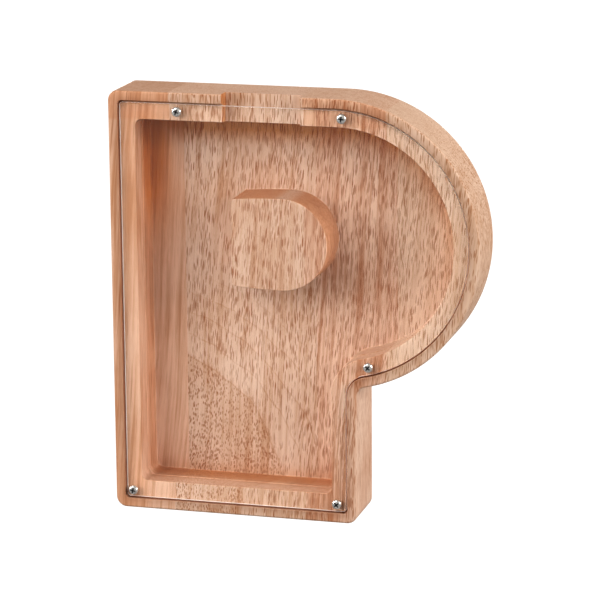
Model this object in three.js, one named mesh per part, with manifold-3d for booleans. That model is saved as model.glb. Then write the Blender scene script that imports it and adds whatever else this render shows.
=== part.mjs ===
// Letter-shaped wooden money box: an edge-glued hardwood blank milled to a capital P,
// with a deep coin pocket, a coin notch in its top and a clear acrylic front held by five screws.
//
// Millimetres, +Z up. The origin is the middle of the flat foot. The front faces -Y.
// Distances "across" are measured from the left edge of the letter, distances "up" from its foot.

import * as THREE from 'three';
import { mergeVertices } from 'three/addons/utils/BufferGeometryUtils.js';
import Module from 'manifold-3d';

// ---- driving dimensions -------------------------------------------------------------------

const overallHeight = 210;
const overallWidth = 184;
const stemWidth = 123.7;
const boardThickness = 31;
const bowlRadius = 71.1;
const crotchRadius = 5;
const outerCornerRadius = 5.2;

const rimWidth = 4.8;
const rebateCornerRadius = 2.4;

const pocketSideWall = 13.1;
const pocketEndWall = 14;
const pocketCornerRadius = 3.5;
const floorThickness = 6;

const islandLeft = 61;
const islandWidth = 47.8;
const islandHeight = 45.3;
const islandBelowBowlMiddle = 1.55;
const islandCornerRadius = 2.6;

const notchLeft = 57.3;
const notchWidth = 38.7;
const coinGap = 4.2;

const coverThickness = 2;
const coverRecess = 0.5;
const coverEdgeGap = 0.8;

const leftStaveWidth = 30.7;
const glueLineInsideStem = 26.1;
const glueLineOutsideStem = 14.6;

const screwHeadRadius = 2.5;
const screwHeadHeight = 1.6;
const screwThreadRadius = 1.5;
const screwLength = 12;
const screwTipLength = 2.4;
const crossRecessLength = 2.9;
const crossRecessWidth = 0.75;
const crossRecessDepth = 1;
const coverHoleClearance = 0.4;
const pilotHoleClearance = 0.2;
const pilotHoleExtraDepth = 1.5;

const topLeftScrewAcross = 34.8;
const topRightScrewPastBowlMiddle = 3.8;
const bowlScrewPastCrotch = 3.5;
const footRightScrewInset = 10.2;

const cutMargin = 5;
const arcDivisions = 20;
const holeDivisions = 10;
const turningSteps = 32;

// ---- places that follow from the sizes -----------------------------------------------------

const rebateDepth = coverThickness + coverRecess;
const pocketDepth = boardThickness - floorThickness;
const notchDepth = rebateDepth + coinGap;

const frontY = -boardThickness / 2;
const ledgeY = frontY + rebateDepth;
const coverFrontY = ledgeY - coverThickness;
const leftX = -stemWidth / 2;
const bowlAcross = overallWidth - bowlRadius;
const bowlUp = overallHeight - bowlRadius;

const seamsAcross = [
  leftStaveWidth,
  stemWidth - glueLineInsideStem,
  stemWidth + glueLineOutsideStem,
];

// Screws stand in the middle of the ledge, which is wider on level stretches than on upright ones.
const sideLedgeMiddle = (rimWidth + pocketSideWall) / 2;
const endLedgeMiddle = (rimWidth + pocketEndWall) / 2;
const screwCircle = bowlRadius - endLedgeMiddle;
const topRightScrewAngle = Math.asin(topRightScrewPastBowlMiddle / screwCircle);
const bowlScrewAngle = crotchAngle() + THREE.MathUtils.degToRad(bowlScrewPastCrotch);

const screwPlaces = {
  cover_screw_top_left: [topLeftScrewAcross, overallHeight - endLedgeMiddle],
  cover_screw_top_right: onScrewCircle(Math.PI / 2 - topRightScrewAngle),
  cover_screw_bowl: onScrewCircle(bowlScrewAngle),
  cover_screw_foot_left: [sideLedgeMiddle, sideLedgeMiddle],
  cover_screw_foot_right: [stemWidth - footRightScrewInset, endLedgeMiddle],
};

function onScrewCircle(angle) {
  return [bowlAcross + screwCircle * Math.cos(angle), bowlUp + screwCircle * Math.sin(angle)];
}

// Where the bowl meets the stem's hollow arc, as an angle round the bowl's middle.
function crotchAngle() {
  const across = stemWidth + crotchRadius - bowlAcross;
  return -Math.acos(across / (bowlRadius + crotchRadius));
}

// ---- outlines ------------------------------------------------------------------------------

// The letter, drawn inwards from its outer edge by sideInset on upright edges and endInset on
// level ones. The stem meets the bowl in a hollow arc that grows by the same amount.
function letterOutline(sideInset, endInset, cornerRadius) {
  const left = sideInset;
  const right = stemWidth - sideInset;
  const bottom = endInset;
  const top = overallHeight - endInset;
  const radius = bowlRadius - endInset;
  const centreAcross = bowlAcross + endInset - sideInset;
  const hollow = crotchRadius + (sideInset + endInset) / 2;
  const hollowAcross = right + hollow;
  const reach = radius + hollow;
  const hollowUp = bowlUp - Math.sqrt(reach ** 2 - (hollowAcross - centreAcross) ** 2);
  const meeting = Math.atan2(bowlUp - hollowUp, centreAcross - hollowAcross);
  const quarter = Math.PI / 2;

  const outline = new THREE.Shape();
  outline.moveTo(left + cornerRadius, bottom);
  outline.absarc(right - cornerRadius, bottom + cornerRadius, cornerRadius, -quarter, 0, false);
  outline.absarc(hollowAcross, hollowUp, hollow, Math.PI, meeting, true);
  outline.absarc(centreAcross, bowlUp, radius, meeting - Math.PI, quarter, false);
  outline.absarc(left + cornerRadius, top - cornerRadius, cornerRadius, quarter, Math.PI, false);
  outline.absarc(left + cornerRadius, bottom + cornerRadius, cornerRadius, Math.PI, 3 * quarter, false);
  return outline;
}

// The D-shaped counter of the letter: a straight back and a half-round nose.
function islandOutline() {
  const nose = islandHeight / 2;
  const middleUp = bowlUp - islandBelowBowlMiddle;
  const bottom = middleUp - nose;
  const top = middleUp + nose;
  const corner = islandCornerRadius;
  const quarter = Math.PI / 2;

  const outline = new THREE.Shape();
  outline.moveTo(islandLeft + corner, bottom);
  outline.absarc(islandLeft + islandWidth - nose, middleUp, nose, -quarter, quarter, false);
  outline.absarc(islandLeft + corner, top - corner, corner, quarter, Math.PI, false);
  outline.absarc(islandLeft + corner, bottom + corner, corner, Math.PI, 3 * quarter, false);
  return outline;
}

function rectangle(low, high) {
  const outline = new THREE.Shape();
  outline.moveTo(low[0], low[1]);
  outline.lineTo(high[0], low[1]);
  outline.lineTo(high[0], high[1]);
  outline.lineTo(low[0], high[1]);
  return outline;
}

function roundHole(place, radius) {
  return new THREE.Shape().absarc(place[0], place[1], radius, 0, 2 * Math.PI, false);
}

// ---- solids --------------------------------------------------------------------------------

const wasm = await Module();
wasm.setup();

// A plate with the given outline whose front face lies at y = front.
function plate(outline, front, thickness, divisions = arcDivisions) {
  const geometry = new THREE.ExtrudeGeometry(outline, {
    depth: thickness,
    bevelEnabled: false,
    curveSegments: divisions,
  });
  geometry.rotateX(Math.PI / 2);
  geometry.translate(leftX, front + thickness, 0);
  return geometry;
}

function toSolid(geometry) {
  geometry.deleteAttribute('normal');
  geometry.deleteAttribute('uv');
  const merged = mergeVertices(geometry, 1e-4);
  return new wasm.Manifold(new wasm.Mesh({
    numProp: 3,
    vertProperties: Float32Array.from(merged.attributes.position.array),
    triVerts: Uint32Array.from(merged.index.array),
  }));
}

function toGeometry(solid) {
  const mesh = solid.getMesh();
  const geometry = new THREE.BufferGeometry();
  geometry.setAttribute('position', new THREE.BufferAttribute(mesh.vertProperties, 3));
  geometry.setIndex(new THREE.BufferAttribute(mesh.triVerts, 1));
  geometry.computeVertexNormals();
  return geometry;
}

// The glued board with everything that is milled out of it.
function milledBoard() {
  const outside = letterOutline(0, 0, outerCornerRadius);
  const rebate = letterOutline(rimWidth, rimWidth, rebateCornerRadius);
  const pocket = letterOutline(pocketSideWall, pocketEndWall, pocketCornerRadius);
  const notch = rectangle(
    [notchLeft, overallHeight - pocketEndWall - cutMargin],
    [notchLeft + notchWidth, overallHeight + cutMargin],
  );
  const island = toSolid(plate(islandOutline(), ledgeY, boardThickness));
  const pocketCut = toSolid(plate(pocket, frontY - cutMargin, pocketDepth + cutMargin)).subtract(island);

  let board = toSolid(plate(outside, frontY, boardThickness));
  board = board.subtract(toSolid(plate(rebate, frontY - cutMargin, rebateDepth + cutMargin)));
  board = board.subtract(pocketCut);
  board = board.subtract(toSolid(plate(notch, frontY - cutMargin, notchDepth + cutMargin)));

  const pilotRadius = screwThreadRadius + pilotHoleClearance;
  const pilotDepth = screwLength - coverThickness + pilotHoleExtraDepth;
  for (const place of Object.values(screwPlaces)) {
    const hole = plate(roundHole(place, pilotRadius), ledgeY - cutMargin, pilotDepth + cutMargin, holeDivisions);
    board = board.subtract(toSolid(hole));
  }
  return board;
}

// One stave is the part of the milled board between two glue lines.
function staveSolid(board, fromAcross, toAcross) {
  const slab = rectangle([fromAcross, -cutMargin], [toAcross, overallHeight + cutMargin]);
  const thickness = boardThickness + 2 * cutMargin;
  return board.intersect(toSolid(plate(slab, frontY - cutMargin, thickness)));
}

function coverGeometry() {
  const inset = rimWidth + coverEdgeGap;
  const outline = letterOutline(inset, inset, rebateCornerRadius - coverEdgeGap);
  for (const place of Object.values(screwPlaces)) {
    outline.holes.push(roundHole(place, screwThreadRadius + coverHoleClearance));
  }
  return plate(outline, coverFrontY, coverThickness);
}

// A pan-head screw along Y: the seat under its head is at y = 0 and its point at +Y.
function screwGeometry() {
  const shoulder = screwHeadHeight * 0.45;
  const profile = [
    [0, -screwHeadHeight],
    [screwHeadRadius * 0.55, -screwHeadHeight * 0.94],
    [screwHeadRadius * 0.87, -screwHeadHeight * 0.74],
    [screwHeadRadius, -shoulder],
    [screwHeadRadius, 0],
    [screwThreadRadius, 0],
    [screwThreadRadius, screwLength - screwTipLength],
    [0, screwLength],
  ].map(([radius, along]) => new THREE.Vector2(radius, along));
  let solid = toSolid(new THREE.LatheGeometry(profile, turningSteps));
  for (const turn of [0, Math.PI / 2]) {
    const blade = new THREE.BoxGeometry(crossRecessLength, 2 * crossRecessDepth, crossRecessWidth);
    blade.rotateY(turn);
    blade.translate(0, -screwHeadHeight, 0);
    solid = solid.subtract(toSolid(blade));
  }
  return toGeometry(solid);
}

// ---- materials and assembly ----------------------------------------------------------------

function wood(color) {
  return new THREE.MeshStandardMaterial({ color, roughness: 0.55, metalness: 0 });
}

const staveMaterials = {
  stave_1: wood(0xd9a887),
  stave_2: wood(0xcf9a76),
  stave_3: wood(0xc98f6b),
  stave_4: wood(0xdcb08c),
};

const acrylic = new THREE.MeshStandardMaterial({
  color: 0xf4f4f2,
  roughness: 0.05,
  metalness: 0,
  transparent: true,
  opacity: 0.15,
});

function addMesh(group, name, geometry, material) {
  const mesh = new THREE.Mesh(geometry, material);
  mesh.name = name;
  group.add(mesh);
  return mesh;
}

const moneyBox = new THREE.Group();

const board = milledBoard();
const glueLines = [-cutMargin, ...seamsAcross, overallWidth + cutMargin];
Object.entries(staveMaterials).forEach(([name, material], index) => {
  const stave = staveSolid(board, glueLines[index], glueLines[index + 1]);
  addMesh(moneyBox, name, toGeometry(stave), material);
});

addMesh(moneyBox, 'cover', coverGeometry(), acrylic);

for (const [name, [across, up]] of Object.entries(screwPlaces)) {
  const nickel = new THREE.MeshStandardMaterial({ color: 0xc9c9c6, roughness: 0.25, metalness: 1 });
  const screw = addMesh(moneyBox, name, screwGeometry(), nickel);
  screw.position.set(leftX + across, coverFrontY, up);
}

export default moneyBox;
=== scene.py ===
"""Looks of a letter-shaped wooden money box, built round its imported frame.

Four edge-glued staves are milled to a capital letter with a deep coin pocket. A clear acrylic
cover lies in a rebate round the front and is held by five small cross-recessed screws.
All sizes are in metres; MM turns workshop millimetres into them.
"""

from __future__ import annotations

import logging
import math
from collections.abc import Mapping, Sequence
from dataclasses import dataclass, field
from enum import Enum
from functools import partial, reduce

import bmesh
import bpy
from bmesh.types import BMEdge, BMesh, BMVert
from bpy.types import Material, Node, NodeSocket, NodeTree, Object
from mathutils import Matrix, Vector


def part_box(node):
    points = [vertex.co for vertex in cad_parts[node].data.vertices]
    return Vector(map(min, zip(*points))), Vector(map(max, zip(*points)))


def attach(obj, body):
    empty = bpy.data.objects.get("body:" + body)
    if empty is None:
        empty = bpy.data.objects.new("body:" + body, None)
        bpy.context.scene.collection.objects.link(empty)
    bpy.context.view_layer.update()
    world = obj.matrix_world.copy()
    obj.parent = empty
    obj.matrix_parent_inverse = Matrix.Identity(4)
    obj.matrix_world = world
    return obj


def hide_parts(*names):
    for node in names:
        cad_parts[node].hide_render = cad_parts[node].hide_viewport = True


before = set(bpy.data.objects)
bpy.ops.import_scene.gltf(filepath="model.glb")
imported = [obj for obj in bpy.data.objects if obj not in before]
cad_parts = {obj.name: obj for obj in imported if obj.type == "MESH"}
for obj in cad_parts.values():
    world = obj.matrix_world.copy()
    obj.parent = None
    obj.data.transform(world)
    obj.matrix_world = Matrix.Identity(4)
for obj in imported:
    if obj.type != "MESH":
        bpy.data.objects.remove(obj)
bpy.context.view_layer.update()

MM = 0.001
QUARTER = math.pi / 2
# The mesh attribute that holds the painted shade in the gap round the cover.
GAP_SHADE_LAYER = "painted_gap_shade"
log = logging.getLogger("money_box")

Colour = tuple[float, float, float]
Triple = tuple[float, float, float]

# How square a face has to look along an axis to count as turned that way.
TURNED = (0.5, 0.9)

# How much painted shade each place gets. The foot strip is a share of the pocket's height.
FOOT_STRIP = (0.05, 0.0)
FOOT_SHADE, SILL_SHADE, SIDE_SHADE, ISLAND_SHADE, NOTCH_SHADE = 0.22, 0.55, 0.3, 0.42, 0.5
# Tints of the painted shade in the pocket and the darker front faces, and of the painted shade in
# the gap round the cover.
DARKENING_TINT = (0.84, 0.52, 0.23)
GAP_SHADE_TINT = (0.4, 0.25, 0.16)

# The figure of the wood: sizes in millimetres, the rest as shares of its full darkness.
GRAIN_SWAY, GRAIN_LEAN = 8.0, -0.07
RING_RIPPLE, LATE_WOOD, BASE_TONE, TORN_STRENGTH = 0.9, 0.3, 0.14, 1.3
WOOD_ROUGHNESS = 0.44

# Short, long and dot-like vessels: width and length in millimetres, how full and how dark they are.
PORE_LAYERS = ((0.66, 7.2, 0.45, 0.85), (1.05, 10.5, 0.3, 1.0), (0.72, 2.1, 0.5, 0.9))
PORE_CORE = 0.72

LAMPLIGHT_THROUGH = (0.93, 0.93, 0.925)
ROD_STEPS = 40

# The pan head's dome from the top down, as shares of its radius and its height.
HEAD_DOME = ((0.38, 0.015), (0.62, 0.07), (0.8, 0.2), (0.92, 0.4), (0.985, 0.65), (1.0, 0.85))


class Slot(Enum):
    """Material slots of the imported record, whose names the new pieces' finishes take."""

    SMOOTH = "wood_smooth"
    BROWN = "wood_brown"
    RED = "wood_red"
    TAN = "wood_tan"
    ACRYLIC = "clear_acrylic"
    NICKEL = "nickel"


# ---- shader building -------------------------------------------------------------------------


VALUE, COLOUR, VECTOR = "NodeSocketFloat", "NodeSocketColor", "NodeSocketVector"


class NodeSheet:
    """A node tree with short calls for the nodes that the finishes are made of."""

    def __init__(self, tree: NodeTree) -> None:
        """Keep the tree that the calls add to."""
        self.tree = tree

    def feed(self, socket: NodeSocket, source: object) -> None:
        """Link a socket to another, or give it a plain value.

        Args:
            socket: The input socket.
            source: An output socket, a number, a vector or a colour.
        """
        if isinstance(source, NodeSocket):
            self.tree.links.new(source, socket)
        elif socket.type == "RGBA" and len(source) == 3:
            socket.default_value = (*source, 1.0)
        else:
            socket.default_value = source

    def fill(self, node: Node, given: Mapping[str | int, object]) -> None:
        """Feed a node's inputs, each by its name or its number."""
        for name, source in given.items():
            self.feed(node.inputs[name], source)

    def add(
        self, kind: str, given: Mapping[str | int, object] | None = None, **settings: object
    ) -> Node:
        """Add a node, set its properties and feed its inputs.

        Args:
            kind: The node's type name.
            given: What goes into its inputs.
            **settings: Properties to set on the node.

        Returns:
            The new node.
        """
        node = self.tree.nodes.new(kind)
        for name, value in settings.items():
            setattr(node, name, value)
        self.fill(node, given or {})
        return node

    def math(self, operation: str, a: object, b: object = 0.0, clamp: bool = False) -> NodeSocket:
        """Return the result of a Math node, held between 0 and 1 where clamp is set."""
        node = self.add("ShaderNodeMath", {0: a, 1: b}, operation=operation, use_clamp=clamp)
        return node.outputs[0]

    def times(self, *factors: object) -> NodeSocket:
        """Return the product of the factors."""
        return reduce(partial(self.math, "MULTIPLY"), factors)

    def plus(self, *terms: object) -> NodeSocket:
        """Return the sum of the terms."""
        return reduce(partial(self.math, "ADD"), terms)

    def most(self, *values: object) -> NodeSocket:
        """Return the largest of the values."""
        return reduce(partial(self.math, "MAXIMUM"), values)

    def least(self, *values: object) -> NodeSocket:
        """Return the smallest of the values."""
        return reduce(partial(self.math, "MINIMUM"), values)

    def minus(self, a: object, b: object) -> NodeSocket:
        """Return a less b."""
        return self.math("SUBTRACT", a, b)

    def swing(self, noise: NodeSocket, reach: float) -> NodeSocket:
        """Return noise centred on nothing, from minus half its reach to plus half."""
        return self.times(self.minus(noise, 0.5), reach)

    def spared(self, mask: NodeSocket, share: float) -> NodeSocket:
        """Return 1 outside the mask, and that less the share inside it."""
        return self.minus(1.0, self.times(mask, share))

    def ramp(
        self, value: object, low: object, high: object, to_low: float = 0.0, to_high: float = 1.0
    ) -> NodeSocket:
        """Return value mapped smoothly from one range to another.

        Args:
            value: The input value.
            low: Input that gives to_low.
            high: Input that gives to_high.
            to_low: Result at low.
            to_high: Result at high.

        Returns:
            The value socket.
        """
        given = {
            "Value": value, "From Min": low, "From Max": high, "To Min": to_low, "To Max": to_high,
        }
        node = self.add("ShaderNodeMapRange", given, interpolation_type="SMOOTHSTEP")
        return node.outputs["Result"]

    def mix(self, factor: object, a: object, b: object, blend: str = "MIX") -> NodeSocket:
        """Return the colour of a Mix node.

        Args:
            factor: How much of b shows.
            a: First colour.
            b: Second colour.
            blend: The blend mode.

        Returns:
            The colour socket.
        """
        given = {"Factor": factor, "A": a, "B": b}
        node = self.add("ShaderNodeMix", given, data_type="RGBA", blend_type=blend)
        return node.outputs["Result"]

    def vector(self, operation: str, *sources: object) -> NodeSocket:
        """Return the result of a Vector Math node: a number for DISTANCE and LENGTH."""
        node = self.add("ShaderNodeVectorMath", dict(enumerate(sources)), operation=operation)
        return node.outputs["Value" if operation in ("DISTANCE", "LENGTH") else "Vector"]

    def split(self, vector: NodeSocket) -> Sequence[NodeSocket]:
        """Return a vector's X, Y and Z."""
        return self.add("ShaderNodeSeparateXYZ", {0: vector}).outputs[:]

    def joined(self, *axes: object) -> NodeSocket:
        """Return the vector of an X, a Y and a Z."""
        return self.add("ShaderNodeCombineXYZ", dict(enumerate(axes))).outputs[0]

    def noise(
        self, place: NodeSocket, scale: Triple, detail: float, distortion: float = 0.0,
        offset: Triple = (0.0, 0.0, 0.0),
    ) -> NodeSocket:
        """Return the value of a Noise texture.

        Args:
            place: Where the noise is read.
            scale: How fine it is along each axis.
            detail: How many finer layers it has.
            distortion: How much it is bent.
            offset: How far it is moved, in noise.

        Returns:
            The value socket.
        """
        scaled = self.vector("MULTIPLY_ADD", place, scale, offset)
        given = {"Vector": scaled, "Scale": 1.0, "Detail": detail, "Distortion": distortion}
        return self.add("ShaderNodeTexNoise", given).outputs[0]

    def bump(self, height: NodeSocket, strength: float, distance: float) -> NodeSocket:
        """Return the normal of a face with fine relief on it."""
        given = {"Height": height, "Strength": strength, "Distance": distance}
        return self.add("ShaderNodeBump", given).outputs[0]

    def choose(
        self, output: Node, factor: NodeSocket, plain: Node, other: Node
    ) -> None:
        """Show the other shader in place of the plain one where the factor is 1.

        Args:
            output: The material's output node.
            factor: Where the other one shows.
            plain: The shader that shows at 0.
            other: The shader that shows at 1.
        """
        given = {0: factor, 1: plain.outputs[0], 2: other.outputs[0]}
        self.feed(output.inputs["Surface"], self.add("ShaderNodeMixShader", given).outputs[0])


def new_group(
    name: str, inputs: Mapping[str, str], outputs: Mapping[str, str]
) -> tuple[NodeSheet, Mapping[str, NodeSocket], Mapping[str, NodeSocket]]:
    """Make an empty shader node group with named sockets.

    Args:
        name: The group's name.
        inputs: Input names and their socket types.
        outputs: Output names and their socket types.

    Returns:
        The group's sheet, the sockets it is given and the sockets it puts out.
    """
    group = bpy.data.node_groups.new(name, "ShaderNodeTree")
    for way, sockets in (("INPUT", inputs), ("OUTPUT", outputs)):
        for label, kind in sockets.items():
            group.interface.new_socket(name=label, in_out=way, socket_type=kind)
    sheet = NodeSheet(group)
    return sheet, sheet.add("NodeGroupInput").outputs, sheet.add("NodeGroupOutput").inputs


def build_pore_group() -> NodeTree:
    """Build the effect of open pores: short dark vessels that run up the wood.

    Returns:
        The node group. Its Pores output is 1 inside a vessel.
    """
    sheet, given, result = new_group(
        "open_pores",
        {"Vector": VECTOR, "Width": VALUE, "Length": VALUE, "Fullness": VALUE},
        {"Pores": VALUE},
    )
    size = sheet.joined(given["Width"], given["Width"], given["Length"])
    cells = {"Vector": sheet.vector("DIVIDE", given["Vector"], size), "Scale": 1.0}
    distance = sheet.add("ShaderNodeTexVoronoi", cells).outputs["Distance"]
    core = sheet.times(given["Fullness"], PORE_CORE)
    sheet.feed(result["Pores"], sheet.ramp(distance, given["Fullness"], core))
    return sheet.tree


def build_shade_group() -> NodeTree:
    """Build painted shade along the pocket's walls, where their shadows fall, and darker front
    faces.

    Returns:
        The node group. Its Shade And Darkening output is 1 on the upper wall and fades out over the
        floor.
    """
    measures = ("Left", "Right", "Foot", "Top", "Ledge", "Floor", "Bowl Radius", "Spread",
                "Notch Middle", "Notch Reach", "Front Share")
    sheet, given, result = new_group(
        "painted_shade_in_pocket",
        {"Position": VECTOR, "Normal": VECTOR, "Bowl": VECTOR, **dict.fromkeys(measures, VALUE)},
        {"Oil": VALUE},
    )
    ramp, times, minus = sheet.ramp, sheet.times, sheet.minus
    across, behind, up = sheet.split(given["Position"])
    facing_x, facing_y, facing_z = sheet.split(given["Normal"])
    to_side = sheet.math("ABSOLUTE", facing_x)
    past_left, above = minus(across, given["Left"]), minus(up, given["Top"])

    # How far inside the pocket's outline a point lies.
    flat = sheet.vector("MULTIPLY_ADD", given["Position"], (1.0, 0.0, 1.0), (0.0, 0.0, 0.0))
    in_bowl = minus(given["Bowl Radius"], sheet.vector("DISTANCE", flat, given["Bowl"]))
    in_stem = sheet.least(past_left, minus(given["Right"], across))
    height = minus(up, given["Foot"])
    inside = sheet.least(sheet.most(in_bowl, in_stem), minus(given["Top"], up), height)

    # The painted shade is darkest under the top wall, lighter at the foot and on the side walls.
    edge = times(ramp(inside, given["Spread"], 0.0), ramp(inside, -1.6 * MM, -0.8 * MM))
    share = sheet.math("DIVIDE", height, minus(given["Top"], given["Foot"]))
    ends = sheet.plus(ramp(share, 0.45, 0.97), ramp(share, *FOOT_STRIP, 0.0, FOOT_SHADE))
    sill = times(ramp(share, *FOOT_STRIP), ramp(facing_z, *TURNED, 0.0, SILL_SHADE))
    ends = sheet.most(ends, ramp(to_side, *TURNED, 0.0, SIDE_SHADE), sill)
    below_ledge = ramp(minus(behind, given["Ledge"]), 4 * MM, given["Spread"])
    deep = times(below_ledge, ramp(minus(behind, given["Floor"]), 2 * MM, 1 * MM))
    pocket_shade = times(edge, ends, deep)

    # The side walls of the island and of the coin notch get painted shade as well.
    off_front = ramp(sheet.math("ABSOLUTE", facing_y), 0.7, 0.3, 0.0, ISLAND_SHADE)
    island = times(ramp(inside, 24 * MM, 30 * MM), off_front)
    off_middle = sheet.math("ABSOLUTE", minus(across, given["Notch Middle"]))
    off_wall = sheet.math("ABSOLUTE", minus(off_middle, given["Notch Reach"]))
    notch = times(ramp(off_wall, 1.2 * MM, 0.6 * MM), ramp(to_side, 0.3, 0.8),
                  ramp(above, -1 * MM, 0.0), NOTCH_SHADE)

    # The front faces above the pocket and low on the left are darkened too, as far as each stave
    # takes it.
    low_left = times(ramp(up, 50 * MM, 8 * MM), ramp(past_left, 8 * MM, 0.0))
    front = times(sheet.most(ramp(above, -1 * MM, 1 * MM), low_left), ramp(facing_y, -0.5, -0.9),
                  ramp(behind, given["Floor"], given["Ledge"]), given["Front Share"])
    sheet.feed(result["Oil"], sheet.most(pocket_shade, island, notch, front))
    return sheet.tree


def build_wood_group(pores: NodeTree) -> NodeTree:
    """Build the effect of hardwood: growth rings, fine fibre, pores and end grain.

    Args:
        pores: The pore group it uses three times, for short, long and dot-like vessels.

    Returns:
        The node group, with Colour, Roughness and Height outputs.
    """
    vectors = ("Position", "Normal", "Figure Centre", "Ring Spacing")
    colours = ("Pale", "Deep", "Vessel", "End Grain")
    values = ("Ring Contrast", "Heart", "Band", "Streaks", "Vessels", "Oil", "Grime", "Inner Rings",
              "Paler Sides")
    inputs = dict.fromkeys(vectors, VECTOR) | dict.fromkeys(colours, COLOUR)
    sheet, given, result = new_group(
        "milled_hardwood", inputs | dict.fromkeys(values, VALUE),
        {"Colour": COLOUR, "Roughness": VALUE, "Height": VALUE},
    )
    ramp, times, minus, noise = sheet.ramp, sheet.times, sheet.minus, sheet.noise
    mm = sheet.vector("MULTIPLY_ADD", given["Position"], (1 / MM,) * 3, (0.0, 0.0, 0.0))
    across, behind, up = sheet.split(mm)

    # The grain wanders slowly and leans a little, so that nothing runs dead straight.
    sway = sheet.swing(noise(mm, (0.02, 0.02, 0.008), 1.0), GRAIN_SWAY)
    along = sheet.joined(sheet.plus(across, sway, times(up, GRAIN_LEAN)), behind, up)

    # Growth rings lie round the heart of the figure, so flat faces cut them in arches.
    away = sheet.vector("SUBTRACT", mm, given["Figure Centre"])
    counted = sheet.vector("DIVIDE", away, given["Ring Spacing"])
    length = sheet.vector("LENGTH", counted)
    ripple = sheet.swing(noise(mm, (0.045, 0.045, 0.03), 3.0), RING_RIPPLE)
    rings = minus(sheet.plus(length, ripple), given["Inner Rings"])
    phase = sheet.math("FRACT", rings)
    late = times(ramp(phase, 0.4, 0.95), ramp(phase, 0.95, 1.0, 1.0, 0.0))
    line = times(ramp(phase, 0.92, 0.96), ramp(phase, 0.96, 1.0, 1.0, 0.0))
    flank = sheet.math("DIVIDE", sheet.math("ABSOLUTE", sheet.split(counted)[0]), length)
    near = times(ramp(rings, 2.4, 3.0), ramp(rings, 8.0, 5.2, 0.3, 1.0), ramp(flank, 0.1, 0.45))
    ring = times(sheet.plus(times(late, LATE_WOOD), line), near, given["Ring Contrast"])
    in_heart = times(ramp(rings, 3.3, 2.85), given["Heart"])
    # A paler band between rings: part figure, part painted sheen standing for the wood's shimmer.
    sheen_band = times(ramp(rings, 2.9, 3.2), ramp(rings, 4.15, 3.85), given["Band"])

    # Faces that look sideways can be plainer and paler.
    facing_x, _, facing_z = sheet.split(given["Normal"])
    side = times(ramp(sheet.math("ABSOLUTE", facing_x), *TURNED), given["Paler Sides"])

    # Fibre: fine long streaks, and broader soft ones.
    fibre = noise(along, (1.7, 1.7, 0.06), 3.0)
    band = noise(along, (0.3, 0.3, 0.009), 4.0, 0.4)
    stripe = noise(along, (0.72, 0.72, 0.014), 3.0)
    cloud = noise(mm, (0.03, 0.03, 0.022), 3.0)
    streak = sheet.plus(ramp(band, 0.44, 0.66), ramp(stripe, 0.42, 0.66, 0.0, 0.9))
    streak = times(streak, given["Streaks"], sheet.spared(side, 0.7))
    tone = sheet.plus(
        ring, streak, sheet.swing(fibre, 0.6), sheet.swing(cloud, 1.5),
        times(sheen_band, -0.16), times(in_heart, 0.14), times(side, -0.1),
    )
    tone = sheet.math("ADD", tone, BASE_TONE, clamp=True)
    colour = sheet.mix(tone, given["Pale"], given["Deep"])

    # Torn fibre: a few short dark streaks where the cutter lifted the grain.
    torn = noise(along, (0.95, 0.95, 0.03), 2.0)
    where = noise(mm, (0.035, 0.035, 0.03), 1.0, offset=(7.0, 3.0, 5.0))
    torn = times(ramp(torn, 0.56, 0.7), ramp(where, 0.46, 0.62), given["Streaks"])
    torn = sheet.math("MULTIPLY", torn, TORN_STRENGTH, clamp=True)
    colour = sheet.mix(torn, colour, given["Vessel"])

    # Vessels: dashes along the grain, and dots where the grain rises out of the face.
    patch = noise(along, (0.07, 0.07, 0.02), 2.0)
    amount = times(ramp(patch, 0.3, 0.62, 0.78, 1.0), sheet.spared(sheen_band, 0.18))
    layers = []
    for width, long, share, strength in PORE_LAYERS:
        cells = {"Vector": along, "Width": width, "Length": long, "Fullness": times(amount, share)}
        layer = sheet.add("ShaderNodeGroup", cells, node_tree=pores)
        layers.append(times(layer.outputs[0], strength))
    dashes = times(sheet.most(layers[0], layers[1]), minus(1.0, in_heart))
    dots = times(layers[2], in_heart)
    depth_vary = ramp(noise(mm, (0.7, 0.7, 0.2), 1.0), 0.3, 0.6, 0.5, 1.0)
    vessels = times(
        sheet.most(dashes, dots), depth_vary, given["Vessels"], sheet.spared(side, 0.55)
    )

    # End grain drinks more finish: greyer, darker and speckled.
    end_grain = ramp(sheet.math("ABSOLUTE", facing_z), 0.45, 0.9)
    speckle = ramp(noise(mm, (1.5, 1.5, 0.6), 3.0), 0.45, 0.75, 0.0, 0.4)
    greyed = sheet.mix(0.6, colour, given["End Grain"])
    greyed = sheet.mix(speckle, greyed, given["Vessel"])
    colour = sheet.mix(end_grain, colour, greyed)
    colour = sheet.mix(times(vessels, sheet.spared(end_grain, 0.6)), colour, given["Vessel"])

    # Painted shade in the pocket and darker front faces, then painted shade in the gap round the
    # cover.
    for name, tint in (("Oil", DARKENING_TINT), ("Grime", GAP_SHADE_TINT)):
        colour = sheet.mix(given[name], colour, sheet.mix(1.0, colour, tint, "MULTIPLY"))
    sheet.feed(result["Colour"], colour)
    rough = sheet.plus(WOOD_ROUGHNESS, times(fibre, 0.14), times(vessels, 0.25))
    sheet.feed(result["Roughness"], rough)
    sheet.feed(result["Height"], minus(times(fibre, 0.3), vessels))
    return sheet.tree


def new_material(name: str) -> tuple[Material, NodeSheet, Node, Node]:
    """Make a material with one Principled shader.

    Args:
        name: The material's name.

    Returns:
        The material, its sheet, its shader and its output node.
    """
    material = bpy.data.materials.new(name)
    material.use_nodes = True
    material.node_tree.nodes.clear()
    sheet = NodeSheet(material.node_tree)
    shader = sheet.add("ShaderNodeBsdfPrincipled")
    output = sheet.add("ShaderNodeOutputMaterial", {"Surface": shader.outputs[0]})
    return material, sheet, shader, output


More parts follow.
